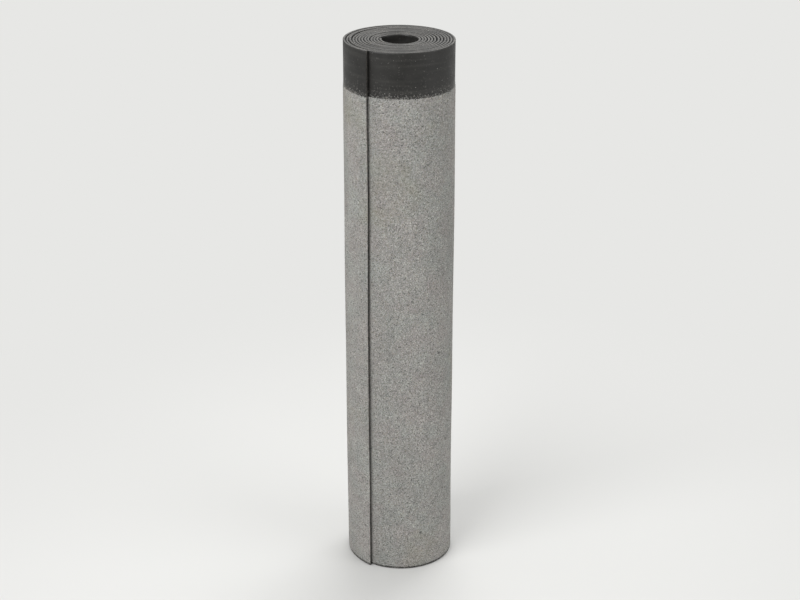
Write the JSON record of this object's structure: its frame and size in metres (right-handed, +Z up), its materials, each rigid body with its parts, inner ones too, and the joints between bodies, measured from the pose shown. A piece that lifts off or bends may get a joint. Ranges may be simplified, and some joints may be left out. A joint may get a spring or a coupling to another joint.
{
  "type": "roll of roofing felt",
  "caption": "Mineral-surfaced bitumen roofing felt wound into a tight coreless roll, standing on end with its bare selvedge uppermost and its outer end lying as a lap down the side.",
  "frame": {"origin": "on the bore's axis at the lower end, on which the roll stands", "axes": "+Z up along the bore to the selvedge end; the outer end of the sheet lies at 235 degrees counterclockwise from +X"},
  "size_m": [0.1966, 0.1943, 1],
  "materials": {
    "mineral_granules": "crushed grey mineral granules pressed into the sheet, matt and speckled",
    "bitumen": "bare black bitumen of the selvedge, the cut edges and the underside, dull satin"
  },
  "bodies": {
    "root": {"felt_roll": "mineral_granules"}
  },
  "joints": []
}
